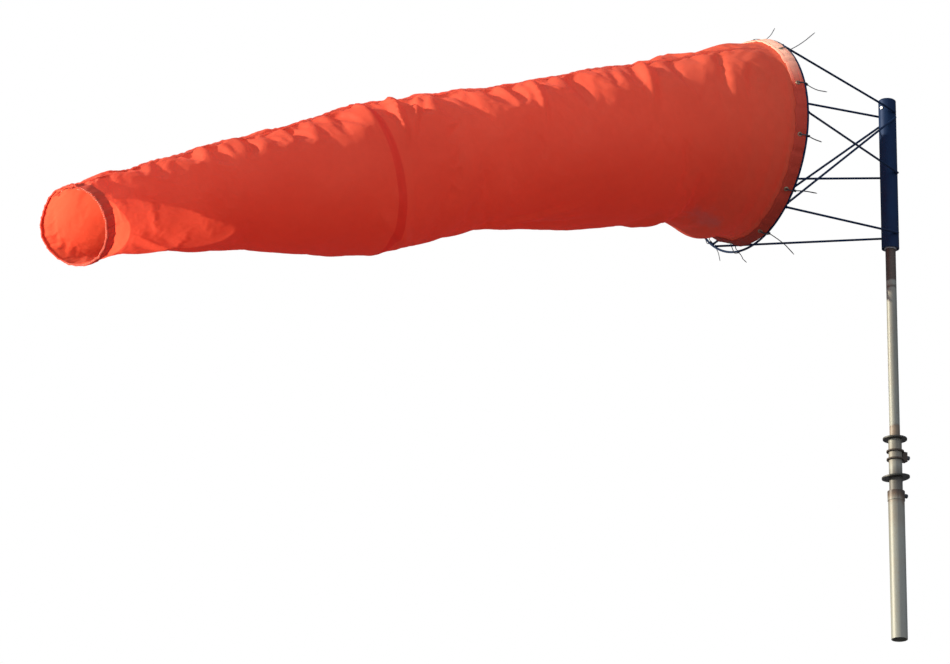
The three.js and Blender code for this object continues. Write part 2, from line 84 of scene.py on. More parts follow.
class Tree:
    """Adds and links the shader nodes of a new material, or of the world."""

    def __init__(self, name, world=False):
        self.owner = (bpy.data.worlds if world else bpy.data.materials).new(name)
        self.owner.use_nodes = True
        self.nt = self.owner.node_tree
        self.nt.nodes.clear()
        self.out = self.add("ShaderNodeOutputWorld" if world else "ShaderNodeOutputMaterial")
        self.coord = self.add("ShaderNodeTexCoord").outputs["Generated" if world else "Object"]

    def add(self, kind, inputs=None, **settings):
        """New node; each input is a number, a colour, a vector, or a socket to link to it."""
        node = self.nt.nodes.new(kind)
        for key, value in settings.items():
            setattr(node, key, value)
        for key, value in (inputs or {}).items():
            socket = node.inputs[key]
            if isinstance(value, (int, float)):
                socket.default_value = value
            elif isinstance(value, tuple):
                socket.default_value = value + (1,) * (len(socket.default_value) - len(value))
            elif value is not None:
                self.nt.links.new(value, socket)
        return node

    def mapped(self, scale):
        return self.add("ShaderNodeMapping", {"Scale": scale, "Vector": self.coord}).outputs[0]

    def noise(self, scale, detail=4, rough=0.55, vector=None):
        vector = self.coord if vector is None else vector
        return self.add("ShaderNodeTexNoise", {"Scale": scale, "Detail": detail, "Roughness": rough,
                                               "Vector": vector}).outputs["Fac"]

    def wave(self, direction, scale, distortion, vector):
        return self.add("ShaderNodeTexWave", {"Scale": scale, "Distortion": distortion, "Vector": vector},
                        wave_type="BANDS", bands_direction=direction).outputs["Fac"]

    def ramp(self, value, stops):
        node = self.add("ShaderNodeValToRGB", {0: value})
        elements = node.color_ramp.elements
        while len(elements) < len(stops):
            elements.new(0.5)
        for element, (position, color) in zip(elements, stops):
            element.position = position
            element.color = color + (1,)
        return node.outputs[0]

    def grey(self, value, lo, hi, a=0.0, b=1.0):
        """Map lo to hi onto a to b, and hold it beyond them."""
        return self.add("ShaderNodeMapRange", {"Value": value, "From Min": lo, "From Max": hi,
                                               "To Min": a, "To Max": b}).outputs[0]

    def math(self, kind, a, b):
        return self.add("ShaderNodeMath", {0: a, 1: b}, operation=kind).outputs[0]

    def vector_math(self, kind, a, b):
        return self.add("ShaderNodeVectorMath", {0: a, 1: b}, operation=kind).outputs["Value"]

    def mix(self, fac, a, b):
        return self.add("ShaderNodeMix", {0: fac, 6: a, 7: b}, data_type="RGBA").outputs[2]

    def mix_shader(self, fac, a, b):
        return self.add("ShaderNodeMixShader", {0: fac, 1: a.outputs[0], 2: b.outputs[0]})

    def seen_by_camera(self):
        return self.add("ShaderNodeLightPath").outputs["Is Camera Ray"]

    def bump(self, height, distance, strength=1.0, normal=None):
        return self.add("ShaderNodeBump", {"Height": height, "Distance": distance, "Strength": strength,
                                           "Normal": normal}).outputs[0]

    def axis(self, which, vector=None):
        vector = self.coord if vector is None else vector
        return self.add("ShaderNodeSeparateXYZ", {0: vector}).outputs[which]

    def principled(self, color, rough, metal=0.0, normal=None, **more):
        return self.add("ShaderNodeBsdfPrincipled", {
            "Base Color": color, "Roughness": rough, "Metallic": metal, "Normal": normal,
            **{key.replace("_", " "): value for key, value in more.items()}})

    def finish(self, shader):
        self.nt.links.new(shader.outputs[0], self.out.inputs[0])
        return self.owner


# ------------------------------------------------------------------ camera, light, floor
CAMERA_LENS = 242.5
CAMERA_TURN, CAMERA_TILT, CAMERA_DISTANCE = math.radians(-31.04), math.radians(-19.81), 13.061
CAMERA_AIM = Vector((-1.0376, 0.0, 0.4915))
FILL_FROM = tuple(Vector((-0.55, -0.75, 0.35)).normalized())
SUN_FROM = Vector((-0.89, 0.36, 0.25)).normalized()
BEAM_FROM, BEAM_DISTANCE = Vector((-0.992, -0.010, -0.020)).normalized(), 6.0
BEAM_SHIFT = Vector((0, 0.022, 0.008))
FLOOR_Z, FLOOR_HALF = -5, 60


def make_camera():
    cam = bpy.data.cameras.new("camera")
    cam.sensor_width = 36.0
    cam.lens = CAMERA_LENS
    cam.clip_end = 200
    ob = new_object("camera", cam)
    level = math.cos(CAMERA_TILT)
    away = Vector((math.sin(CAMERA_TURN) * level, -math.cos(CAMERA_TURN) * level, math.sin(CAMERA_TILT)))
    ob.location = CAMERA_AIM + CAMERA_DISTANCE * away
    ob.rotation_euler = (-away).to_track_quat("-Z", "Y").to_euler()
    scene.camera = ob


make_camera()


def make_world():
    """White to the camera; the light that falls on the object comes mostly from FILL_FROM."""
    t = Tree("sky", world=True)
    scene.world = t.owner
    level = t.grey(t.vector_math("DOT_PRODUCT", t.coord, FILL_FROM), -1, 1)
    color = t.ramp(level, [(0.15, (0.045, 0.06, 0.095)), (0.48, (0.25, 0.29, 0.37)),
                           (0.72, (0.86, 0.93, 1.06)), (1.0, (1.34, 1.40, 1.54))])
    fill = t.add("ShaderNodeBackground", {"Color": color, "Strength": 1.0})
    seen = t.add("ShaderNodeBackground", {"Color": (1, 1, 1), "Strength": 1.0})
    t.finish(t.mix_shader(t.seen_by_camera(), fill, seen))


make_world()


def make_sun():
    sun = bpy.data.lights.new("sun", "SUN")
    sun.energy = 8.1
    sun.angle = math.radians(0.9)
    sun.color = (1.0, 0.91, 0.74)
    new_object("sun", sun).rotation_euler = SUN_FROM.to_track_quat("Z", "Y").to_euler()


make_sun()


def make_tail_light():
    """Narrow beam in line with the tail, so that daylight reaches into its mouth."""
    spot = bpy.data.lights.new("tail_beam", "SPOT")
    spot.energy = 3600
    spot.spot_size = math.radians(1.9)
    spot.spot_blend = 0.1
    spot.shadow_soft_size = 0.02
    spot.color = (1.0, 0.94, 0.86)
    ob = new_object("tail_beam", spot)
    tail_low, tail_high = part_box("tail_hem")
    mouth = (Vector(tail_low) + Vector(tail_high)) / 2 + BEAM_SHIFT
    ob.location = mouth + BEAM_FROM * BEAM_DISTANCE
    ob.rotation_euler = BEAM_FROM.to_track_quat("Z", "Y").to_euler()


make_tail_light()


def make_floor():
    me = bpy.data.meshes.new("floor")
    corners = ((-1, -1), (1, -1), (1, 1), (-1, 1))
    me.from_pydata([(x * FLOOR_HALF, y * FLOOR_HALF, FLOOR_Z) for x, y in corners], [], [(0, 1, 2, 3)])
    t = Tree("floor")
    # pale to the camera, darker to the light that bounces off it
    tone = t.mix(t.seen_by_camera(), (0.19, 0.19, 0.21), (0.86, 0.86, 0.85))
    me.materials.append(t.finish(t.principled(tone, 0.9)))
    ob = new_object("floor", me)


make_floor()
scene.view_settings.view_transform = "Standard"
scene.view_settings.look = "None"


# ------------------------------------------------------------------ materials
def cloth_material(name, tint, through, glow, sheen=0.10, wear_and_painted_light=None):
    """Coated nylon: a soft principled layer mixed with light that comes through the weave."""
    t = Tree(name)
    blotch = t.noise(3.2, 5, 0.6)
    fine = t.noise(70, 3, 0.6)
    dark = tuple(c * 0.88 for c in tint)
    light = (min(1, tint[0] * 1.04), tint[1] * 1.18, tint[2] * 1.2)
    color = t.ramp(blotch, [(0.3, dark), (0.7, light)])
    color = t.mix(t.grey(fine, 0.3, 0.7, 0.0, 0.10), color, tuple(c * 0.7 for c in tint))
    # darker towards the throat and low down: painted shade
    painted_shade = t.math("ADD", t.grey(t.axis(0), HOOP_X - 0.55, HOOP_X - 0.05, 0.0, 0.26),
                  t.grey(t.axis(2), HOOP_Z - 0.22, HOOP_Z - 0.06, 0.16, 0.0))
    color = t.mix(painted_shade, color, tuple(c * 0.35 for c in tint))
    # extra colour: the worn patch and overlap band on the cloth, and painted sunlight on the hem's top
    if wear_and_painted_light is not None:
        color = wear_and_painted_light(t, color)
    uv = t.add("ShaderNodeUVMap", uv_map="cloth").outputs[0]
    weave = t.math("ADD", t.wave("X", 700, 0.3, uv), t.wave("Y", 700, 0.3, uv))
    crumple = t.noise(26, 6, 0.55)
    normal = t.bump(weave, 0.00012, 0.5)
    normal = t.bump(crumple, 0.003, 0.3, normal)
    base = t.principled(color, t.grey(blotch, 0.3, 0.7, 0.5, 0.66), 0.0, normal,
                        Specular_IOR_Level=0.16, Sheen_Weight=sheen, Sheen_Roughness=0.4)
    back = t.add("ShaderNodeBsdfTranslucent", {"Color": t.mix(0.5, color, glow), "Normal": normal})
    return t.finish(t.mix_shader(through, base, back))


def worn_patch(t, color):
    """Dull grey-mauve scuff low on the cone's near side, just behind the throat."""
    away = t.vector_math("DISTANCE", t.coord, WORN_SPOT)
    edge = t.math("ADD", away, t.grey(t.noise(45, 4, 0.7), 0.3, 0.7, -0.018, 0.018))
    fac = t.grey(edge, 0.014, 0.046, 0.6, 0.0)
    return t.mix(fac, color, (0.34, 0.14, 0.12))


def panel_join(t, color):
    """The worn patch, and the darker band where the two lengths of cloth overlap."""
    color = worn_patch(t, color)
    s = t.axis(1, t.add("ShaderNodeUVMap", uv_map="cloth").outputs[0])
    rise = t.grey(s, JOIN_S - JOIN_END, JOIN_S - JOIN_FULL, 0.0, 1.0)
    fall = t.grey(s, JOIN_S + JOIN_FULL, JOIN_S + JOIN_END, 1.0, 0.0)
    return t.mix(t.math("MULTIPLY", rise, fall), color, (0.64, 0.062, 0.036))


def painted_sunlit_top(t, color):
    """Hem cloth painted paler along its top: painted sunlight."""
    high = t.grey(t.axis(2), HOOP_Z + 0.06, HOOP_Z + 0.17, 0.0, 0.9)
    return t.mix(high, color, (0.95, 0.56, 0.40))


CLOTH_TINT = (0.84, 0.116, 0.058)
GLOW = (0.95, 0.100, 0.046)
WORN_S, WORN_A = 0.165, math.radians(172)
# middle of the overlap's band, and how far it is full and where it ends on both sides
JOIN_S, JOIN_FULL, JOIN_END = 0.952, 0.009, 0.011


def mast_steel(name, bands, metal=0.1, tone=1.0, edge=1.0):
    """Weathered steel tube; bands are (low z, high z, strength, colour) zones of dirt, rust and painted
    shadow.

    edge scales how softly the zones fade.
    """
    t = Tree(name)
    streak = t.noise(38, 5, 0.6, t.mapped((1, 1, 0.05)))
    cloud = t.noise(14, 5, 0.6)
    spangle = t.noise(170, 3, 0.5)
    z = t.axis(2)
    color = t.ramp(streak, [(0.25, (0.130 * tone, 0.132 * tone, 0.108 * tone)),
                            (0.55, (0.195 * tone, 0.202 * tone, 0.175 * tone)),
                            (0.85, (0.245 * tone, 0.255 * tone, 0.232 * tone))])
    color = t.mix(t.grey(spangle, 0.35, 0.65, 0.0, 0.22), color, (0.18 * tone, 0.18 * tone, 0.17 * tone))
    color = t.mix(t.grey(cloud, 0.5, 0.75, 0.0, 0.35), color, (0.20, 0.165, 0.115))
    wander = t.grey(streak, 0.2, 0.8, -0.014 * edge, 0.014 * edge)
    level = t.math("ADD", z, wander)
    for low, high, strength, tint in bands:
        rise = t.grey(level, low - 0.012 * edge, low + 0.004 * edge, 0.0, 1.0)
        fall = t.grey(level, high - 0.006 * edge, high + 0.014 * edge, 1.0, 0.0)
        zone = t.math("MULTIPLY", t.math("MULTIPLY", rise, fall), strength)
        color = t.mix(zone, color, tint)
    pits = t.grey(t.noise(300, 3, 0.7), 0.58, 0.68)
    color = t.mix(t.math("MULTIPLY", pits, 0.5), color, (0.16, 0.09, 0.05))
    rough = t.grey(streak, 0.2, 0.8, 0.40, 0.62)
    normal = t.bump(t.noise(240, 4), 0.0004, 0.4)
    normal = t.bump(streak, 0.0006, 0.25, normal)
    return t.finish(t.principled(color, rough, metal, normal, Specular_IOR_Level=0.3))


def navy_material():
    t = Tree("navy_paint")
    cloud = t.noise(25, 4)
    color = t.ramp(cloud, [(0.3, (0.002, 0.008, 0.030)), (0.7, (0.004, 0.016, 0.046))])
    dust = t.noise(9, 5, 0.6)
    color = t.mix(t.grey(dust, 0.5, 0.75, 0.0, 0.18), color, (0.030, 0.024, 0.020))
    scratch = t.noise(240, 3, 0.6, t.mapped((1, 1, 0.12)))
    color = t.mix(t.grey(scratch, 0.68, 0.74, 0.0, 0.35), color, (0.05, 0.06, 0.08))
    rough = t.grey(cloud, 0.3, 0.7, 0.48, 0.62)
    normal = t.bump(t.noise(300, 3), 0.0003, 0.4)
    normal = t.bump(t.noise(60, 3), 0.0008, 0.2, normal)
    # the reflections are tinted blue: painted sky-blue reflection
    return t.finish(t.principled(color, rough, 0.0, normal, Specular_IOR_Level=0.2,
                                 Specular_Tint=(0.36, 0.52, 1.0)))


def plain_metal(name, color, rough, metal, scale=150):
    t = Tree(name)
    n = t.noise(scale, 4)
    dark = tuple(c * 0.6 for c in color)
    tint = t.ramp(n, [(0.3, dark), (0.7, color)])
    stain = t.grey(t.noise(scale * 0.3, 4, 0.7), 0.55, 0.75, 0.0, 0.4)
    tint = t.mix(stain, tint, tuple(c * 0.45 for c in color))
    return t.finish(t.principled(tint, t.grey(n, 0.3, 0.7, rough, rough + 0.2), metal,
                                 t.bump(n, 0.0004, 0.4)))


def thread_material(name, color):
    t = Tree(name)
    twist = t.wave("DIAGONAL", 900, 0.0, t.coord)
    tint = t.mix(t.grey(t.noise(120, 3), 0.3, 0.7, 0.0, 0.5), color, tuple(c * 0.6 for c in color))
    return t.finish(t.principled(tint, 0.6, 0.0, t.bump(twist, 0.0002, 0.6)))


ring_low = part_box("lower_guy_ring")[0][2]
upper_ring_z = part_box("upper_guy_ring")[0][2]
lower_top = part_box("lower_mast_tube")[1][2]
# colour of the painted shadow on the upper tube
PAINTED_SHADOW_BROWN = (0.040, 0.026, 0.020)
RUSTY = (0.098, 0.062, 0.036)
DARK = (0.05, 0.042, 0.036)
SLEEVE_FOOT = sleeve_low[2]
STEEL_BY_NODE = {
    "upper_mast_tube": mast_steel("upper_mast_steel", [
        # painted shadow: the dark stretch from below the sleeve's foot upwards is the cone's shadow, and
        # the thin dash under it is the hoop wire's shadow
        (SLEEVE_FOOT - 0.073, SLEEVE_FOOT + 0.5, 0.92, PAINTED_SHADOW_BROWN),
        (SLEEVE_FOOT - 0.0900, SLEEVE_FOOT - 0.0870, 0.8, PAINTED_SHADOW_BROWN),
        (upper_ring_z + 0.003, upper_ring_z + 0.030, 0.75, RUSTY)], edge=0.25),
    "mid_mast_tube": mast_steel("mid_mast_steel", [
        (ring_low - 0.03, ring_low + 0.012, 0.7, DARK),
        (upper_ring_z - 0.05, upper_ring_z - 0.012, 0.35, RUSTY)]),
    "lower_lock_collar": mast_steel("collar_steel", [
        (lower_top - 0.016, lower_top + 0.02, 0.95, RUSTY),
        (lower_top - 0.008, lower_top + 0.02, 0.9, (0.030, 0.022, 0.018))]),
    "lower_mast_tube": mast_steel("lower_mast_steel", [
        (lower_top - 0.022, lower_top + 0.01, 0.85, RUSTY),
        (lower_top - 0.07, lower_top - 0.02, 0.2, RUSTY)]),
}
DULL = plain_metal("dull_zinc", (0.055, 0.062, 0.075), 0.5, 0.4)
for node in ("clamp_bolt", "clamp_jam_nut", "lower_lock_bolt", "ring_stop_screw"):
    STEEL_BY_NODE[node] = DULL
# dark all over, for the shade on the guy rings' undersides: painted shade
RING_STEEL_PAINTED_SHADE = mast_steel("guy_ring_steel_painted_shade", [(-1, 3, 0.85, (0.020, 0.021, 0.017))], 0.1, 0.35)
NAVY = navy_material()
ZINC = plain_metal("zinc_plate", (0.42, 0.42, 0.43), 0.34, 0.85)
RUST = plain_metal("rusted_steel", (0.050, 0.036, 0.026), 0.7, 0.1)
GREY = plain_metal("grey_plastic", (0.42, 0.43, 0.45), 0.45, 0.0)
BLACK = plain_metal("black_nylon", (0.016, 0.018, 0.024), 0.38, 0.0)
BRASS = plain_metal("aged_brass", (0.30, 0.24, 0.16), 0.4, 0.8)
THREAD = thread_material("pale_thread", (0.82, 0.34, 0.24))
RED_THREAD = thread_material("red_thread", (0.60, 0.055, 0.030))
SLOTS = {
    "galvanised_steel": RING_STEEL_PAINTED_SHADE,
    "navy_paint": NAVY,
    "zinc_plate": ZINC,
    "rusted_steel": RUST,
    "grey_plastic": GREY,
    "black_nylon": BLACK,
    "orange_cloth": RUST,
}
slot_of = {s["node"]: s["material_slot"] for s in frame["record"]["subparts"]}
for name, ob in frame["nodes"].items():
    me = ob.data
    if not me.materials:
        me.materials.append(None)
    for slot in ob.material_slots:
        slot.link = "OBJECT"
        slot.material = STEEL_BY_NODE.get(name, SLOTS[slot_of[name]])
    me.shade_smooth()
    me.set_sharp_from_angle(angle=math.radians(40))


# ------------------------------------------------------------------ mesh building
def mesh_object(name, verts, faces, material, uv=None):
    me = bpy.data.meshes.new(name)
    me.from_pydata([tuple(v) for v in verts], [], faces)
    if uv is not None:
        layer = me.uv_layers.new(name="cloth")
        loops = np.zeros(len(me.loops), dtype=np.int32)
        me.loops.foreach_get("vertex_index", loops)
        layer.data.foreach_set("uv", np.asarray(uv)[loops].astype(np.float32).ravel())
    me.shade_smooth()
    me.set_sharp_from_angle(angle=math.radians(50))
    me.materials.append(material)
    return new_object(name, me)


def grid_faces(n, m, closed=True):
    faces = []
    for i in range(n - 1):
        for j in range(m if closed else m - 1):
            k = (j + 1) % m
            faces.append((i * m + j, i * m + k, (i + 1) * m + k, (i + 1) * m + j))
    return faces


def ring_faces(n, m):
    """Faces of n rows of m points when the last row joins the first."""
    last = (n - 1) * m
    return grid_faces(n, m) + [(last + k, last + (k + 1) % m, (k + 1) % m, k) for k in range(m)]


class Shell:
    """Collects the vertices and faces of one piece."""

    def __init__(self):
        self.verts = []
        self.faces = []

    def add(self, verts, faces):
        start = len(self.verts)
        self.verts.extend(np.asarray(verts).tolist())
        self.faces.extend(tuple(i + start for i in f) for f in faces)

    def sweep(self, path, section, up, closed=False):
        """Carry a 2-D section (across, up) along the path; up is a hint for the section's second axis."""
        path = np.asarray(path, float)
        if closed:
            tangent = np.roll(path, -1, 0) - np.roll(path, 1, 0)
        else:
            tangent = np.gradient(path, axis=0)
        tangent = unit(tangent)
        across = unit(np.cross(tangent, np.broadcast_to(np.asarray(up, float), path.shape)))
        high = np.cross(across, tangent)
        section = np.asarray(section, float)
        if section.ndim == 2:
            section = np.broadcast_to(section, (len(path),) + section.shape)
        verts = (path[:, None] + across[:, None] * section[..., :1] + high[:, None] * section[..., 1:])
        n, m = verts.shape[:2]
        faces = [f[::-1] for f in (ring_faces(n, m) if closed else grid_faces(n, m))]
        if not closed:
            faces.append(tuple(range(m)))
            faces.append(tuple(reversed(range((n - 1) * m, n * m))))
        self.add(verts.reshape(-1, 3), faces)

    def blob(self, centre, size, axes=None, rows=6, cols=8, power=1.0):
        """Rounded lump: an ellipsoid, or a rounded block when power is below 1."""
        axes = np.eye(3) if axes is None else np.asarray(axes, float)
        size = np.broadcast_to(np.asarray(size, float), (3,))

        def soft(v):
            return np.sign(v) * np.abs(v) ** power

        verts = [[0, 0, -1]]
        for i in range(1, rows):
            lat = -math.pi / 2 + math.pi * i / rows
            for j in range(cols):
                lon = 2 * math.pi * (j + 0.5) / cols
                verts.append([soft(math.cos(lat)) * soft(math.cos(lon)),
                              soft(math.cos(lat)) * soft(math.sin(lon)), soft(math.sin(lat))])
        verts.append([0, 0, 1])
        verts = np.array(verts) * size @ axes + np.asarray(centre, float)
        faces = []
        for j in range(cols):
            k = (j + 1) % cols
            faces.append((0, 1 + k, 1 + j))
            top = 1 + (rows - 2) * cols
            faces.append((top + j, top + k, top + cols))
            for i in range(rows - 2):
                a = 1 + i * cols
                faces.append((a + j, a + k, a + cols + k, a + cols + j))
        self.add(verts, faces)

    def piece(self, name, material, slot, body=None, replaces=(), uv=None):
        ob = mesh_object(name, self.verts, self.faces, material, uv)
        if body is not None:
            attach(ob, body)
        if replaces:
            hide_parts(*replaces)
        return ob


def circle(radius, sides):
    a = np.arange(sides) * 2 * math.pi / sides
    return np.stack([radius * np.cos(a), radius * np.sin(a)], 1)


def bar(width, height, corner=0.3):
    """Flat strap section with its corners cut back."""
    w, h, c = width / 2, height / 2, corner * min(width, height)
    return np.array([(w - c, -h), (w, -h + c), (w, h - c), (w - c, h),
                     (-w + c, h), (-w, h - c), (-w, -h + c), (-w + c, -h)])


def smoothstep(x, low, high):
    t = np.clip((x - low) / (high - low), 0, 1)
    return t * t * (3 - 2 * t)


# ------------------------------------------------------------------ shape of the cone
# distance along the cone, droop and turn in degrees, upper and lower radius, all in millimetres
STATIONS = np.array([
    (0, 0, 0, 230, 230),
    (26, 0, 0, 222, 223),
    (46, 1, 0, 211, 216),
    (100, 6, -0.5, 191, 205),
    (140, 9.5, -0.8, 178, 197),
    (180, 12.3, -1.1, 169, 183),
    (230, 13.2, -1.4, 161, 178),
    (300, 14.4, -1.8, 155, 178),
    (400, 15.4, -2.5, 147, 180),
    (500, 15.8, -3.4, 138, 174),
    (600, 16.2, -4.2, 136, 160),
    (700, 16.6, -4.9, 134, 155),
    (800, 17.1, -4.0, 132, 160),
    (900, 17.5, -3.2, 128, 166),
    (1050, 18.2, -1.6, 113, 160),
    (1150, 18.6, 0.7, 102, 143),
    (1250, 19.2, 3.0, 94, 127),
    (1350, 20.2, 5.2, 84, 116),
    (1450, 21.9, 8.0, 74, 102),
    (1550, 23.5, 11.2, 69, 92),
    (1650, 26.3, 19.9, 68, 88),
    (1724, 29, 28, 72, 87),
])
SIDE_AT = np.array([(0, 0), (100, 5), (200, 11), (300, 9), (400, 4), (500, 0)], float) * MM
SOCK_LENGTH = 1.716
LEAN = math.radians(23)
SEAM_S = 0.866
# distance along the cone in millimetres, and there the top seam's angle in degrees
SEAM_AT = np.array([(0, 42), (80, 34), (200, 26), (400, 21), (800, 19), (1200, 18), (1716, 16)], float)
# small changes to the upper and lower radius, both columns in millimetres, that bring the cloth's
# outline closer to the real one's
TOP_EXTRA = np.array([(0, 0), (650, 0), (900, 6), (958, 9), (1060, 4), (1300, 3), (1560, 4), (1716, 0)],
                     float) * MM
LOW_EXTRA = np.array([(0, -6), (60, 2), (110, 8), (150, 3), (200, -4), (235, -2), (285, 6), (330, 0),
                      (850, 0), (958, 11), (1060, 5), (1180, 0)], float) * MM
# hollows in the cone: below the throat, and in the far rim of the tail's mouth
TUCK_DEPTH, TUCK_AT, TUCK_WIDTH = 0.021, 3.62, 0.44
DENT_DEPTH, DENT_AT, DENT_WIDTH = 0.011, -1.05, 0.6
ST = STATIONS.copy()
ST[:, 0] *= MM
ST[:, 1:3] = np.radians(ST[:, 1:3])
ST[:, 3:5] *= MM


def smooth_value(s, column):
    """Station value at s, eased so that the slope has no breaks."""
    out = np.zeros_like(s)
    for k, w in ((-0.03, 0.25), (0.0, 0.5), (0.03, 0.25)):
        t = np.clip(s + k * np.clip(s / 0.15, 0, 1), 0, SOCK_LENGTH)
        out += w * np.interp(t, ST[:, 0], ST[:, column])
    return out


FINE = np.linspace(0, SOCK_LENGTH, 691)


def centre_line():
    droop, turn = smooth_value(FINE, 1), smooth_value(FINE, 2)
    head = np.stack([-np.cos(droop) * np.cos(turn), -np.cos(droop) * np.sin(turn), -np.sin(droop)], 1)
    step = FINE[1] - FINE[0]
    path = np.concatenate([[[0, 0, 0]], np.cumsum((head[1:] + head[:-1]) / 2 * step, 0)])
    return path + np.array([HOOP_X, 0, HOOP_Z]), head


PATH, HEAD = centre_line()


def frames_at(s):
    """Centre line at s: its point, its heading, and the directions sideways and up."""
    c = interpolate(s, FINE, PATH)
    t = unit(interpolate(s, FINE, HEAD))
    side = unit(np.cross(t, [0, 0, 1.0]))
    return c, t, side, np.cross(side, t)


def cone_radius(s, a):
    """Radius at distance s and angle a from the top towards -Y."""
    top, low = smooth_value(s, 3), smooth_value(s, 4)
    w = (1 + np.cos(a - LEAN)) / 2
    side = np.interp(s, SIDE_AT[:, 0], SIDE_AT[:, 1]) * np.sin(a - LEAN) ** 2
    tuck = TUCK_DEPTH * (1 - smoothstep(s, 0.04, 0.11))
    tuck = tuck * np.exp(-((a % (2 * math.pi) - TUCK_AT) / TUCK_WIDTH) ** 2)
    top = top + np.interp(s, TOP_EXTRA[:, 0], TOP_EXTRA[:, 1])
    low = low + np.interp(s, LOW_EXTRA[:, 0], LOW_EXTRA[:, 1]) * smoothstep(s, 0.02, 0.06)
    turn = (a - DENT_AT + math.pi) % (2 * math.pi) - math.pi
    dent = DENT_DEPTH * smoothstep(s, 1.60, SOCK_LENGTH) * np.exp(-(turn / DENT_WIDTH) ** 2)
    return top * w + low * (1 - w) + side - tuck - dent


def cone_point(s, a, lift=0.0):
    s, a = np.broadcast_arrays(np.asarray(s, float), np.asarray(a, float))
    c, t, side, up = frames_at(s)
    r = (cone_radius(s, a) + lift)[..., None]
    return c + up * r * np.cos(a)[..., None] - side * r * np.sin(a)[..., None]


def seam_angle(s):
    return np.radians(np.interp(s, SEAM_AT[:, 0] * MM, SEAM_AT[:, 1]))


def from_seam(s, a):
    """Angle from the top seam, between minus pi and pi."""
    return np.arctan2(np.sin(a - seam_angle(s)), np.cos(a - seam_angle(s)))


# ------------------------------------------------------------------ folds
def fold_field(s, a, folds):
    """Sum of tapering folds.

    Each fold runs from (s0, a0) to (s1, a1) in mm and degrees, with its depth and half-width in mm.
    A positive depth stands out and a negative one sinks in. lean above 0 makes the side that faces
    the tail the steeper one. It fades to nothing at its far end.
    """
    out = np.zeros_like(s)
    for s0, a0, s1, a1, depth, width, lean in folds:
        ax, ay = s0 * MM, math.radians(a0)
        bx, by = s1 * MM, math.radians(a1)
        scale = 0.15
        dx, dy = bx - ax, (by - ay) * scale
        length = math.hypot(dx, dy)
        px, py = s - ax, (a - ay) * scale
        along = (px * dx + py * dy) / length
        off = (px * dy - py * dx) / length * (1 if dy > 0 else -1)
        t = along / length
        grow = smoothstep(t, -0.18, 0.06) * (1 - smoothstep(t, 0.35, 1.08))
        w = width * MM * (1.15 - 0.6 * np.clip(t, 0, 1))
        x = off / w
        x = np.where(x > 0, x * (1 + lean), x * (1 - 0.45 * lean))
        shoulder = 0.35 * np.exp(-((np.abs(x) - 1.7) / 0.7) ** 2)
        out += depth * MM * grow * (np.exp(-np.abs(x) ** 1.15) - shoulder)
    return out


# near-side folds that hang from the top seam, the crease at the panel seam, and the creases along
# the underside
FOLDS = [
    (1385, 24, 1376, 74, -5, 13, 0.5),
    (1330, 24, 1330, 72, -7, 15, 0.6),
    (1284, 22, 1290, 60, -4, 12, 0.5),
    (1236, 20, 1258, 72, -9, 17, 0.6),
    (1182, 22, 1190, 58, -4, 14, 0.4),
    (1124, 22, 1150, 76, -9, 20, 0.6),
    (1068, 22, 1078, 58, -4, 15, 0.5),
    (1018, 22, 1032, 74, -10, 20, 0.6),
    (958, 20, 972, 78, 7, 14, 0.3),
    (925, 20, 900, 62, -8, 12, 0.2),
    (880, 22, 925, 92, 11, 11, 0.2),
    (846, 20, 838, 66, -12, 20, 0.3),
    (812, 24, 900, 82, 8, 9, 0.2),
    (760, 22, 776, 60, -4, 18, 0.4),
    (700, 22, 712, 56, -4, 16, 0.4),
    (655, 24, 660, 60, -4, 15, 0.4),
    (600, 22, 612, 70, -9, 15, 0.5),
    (548, 24, 584, 92, 8, 10, 0.2),
    (520, 22, 540, 64, -7, 14, 0.3),
    (455, 24, 470, 60, -4, 20, 0.4),
    (388, 24, 398, 60, -4, 18, 0.4),
    (285, 30, 336, 90, 9, 13, 0.3),
    (332, 26, 350, 76, -6, 18, 0.3),
    (240, 34, 290, 74, -4, 22, 0.2),
    (120, 40, 190, 78, -3.5, 22, 0.2),
    (942, 66, 958, 176, -6, 20, -0.3),
    (958, 130, 900, 200, 6, 18, 0.2),
    (986, 146, 840, 196, 5, 14, 0.4),
    (700, 180, 470, 150, 5, 13, 0.3),
    (640, 182, 440, 168, -5, 16, 0.2),
    (1590, 142, 1440, 190, -6, 16, 0.3),
    (214, 188, 236, 140, -9, 20, 0.4),
    (330, 190, 236, 158, 6, 20, 0.3),
    (66, 100, 76, 200, -3, 22, 0.2),
    (300, 60, 262, 150, -5, 26, 0.3),
    (130, 52, 165, 135, 4, 24, 0.2),
    (470, 80, 440, 150, -3.5, 30, 0.2),
    (760, 90, 720, 165, -4, 26, 0.2),
]


def wander(x, seed, octaves=3):
    """Smooth repeatable noise of one variable, about -1 to 1."""
    r = np.random.default_rng(seed)
    out = np.zeros_like(x)
    for k in range(octaves):
        for _ in range(3):
            f = (1.0 + r.random()) * 1.9 ** k
            out += np.sin(x * f * 2 * math.pi + r.random() * 6.283) / (3 * 1.5 ** k)
    return out


def soft_shape(s, a):
    """Broad slack of the cloth, in metres outwards."""
    side = from_seam(s, a)
    near = np.exp(-(side / 0.75) ** 2)
    grow = smoothstep(s, 0.03, 0.16) * (1 - 0.5 * smoothstep(s, 1.5, 1.7))
    bent = s + 0.02 * np.sin(2.2 * a + 5 * s)
    gathers = wander(bent / 0.26, 11) * 0.0042 * near * (1 - np.exp(-(side / 0.16) ** 2))
    gathers *= np.where(side < 0, 0.35, 1.0)
    broad = wander(s / 0.62 + 0.18 * np.sin(a), 5, 2) * 0.0035 * np.sin(1.6 * a + 2.5 * s + 0.8)
    wave = 0.0025 * np.sin(3 * a + wander(s / 0.5, 9, 2) * 2.2)
    return (gathers + broad + wave) * grow


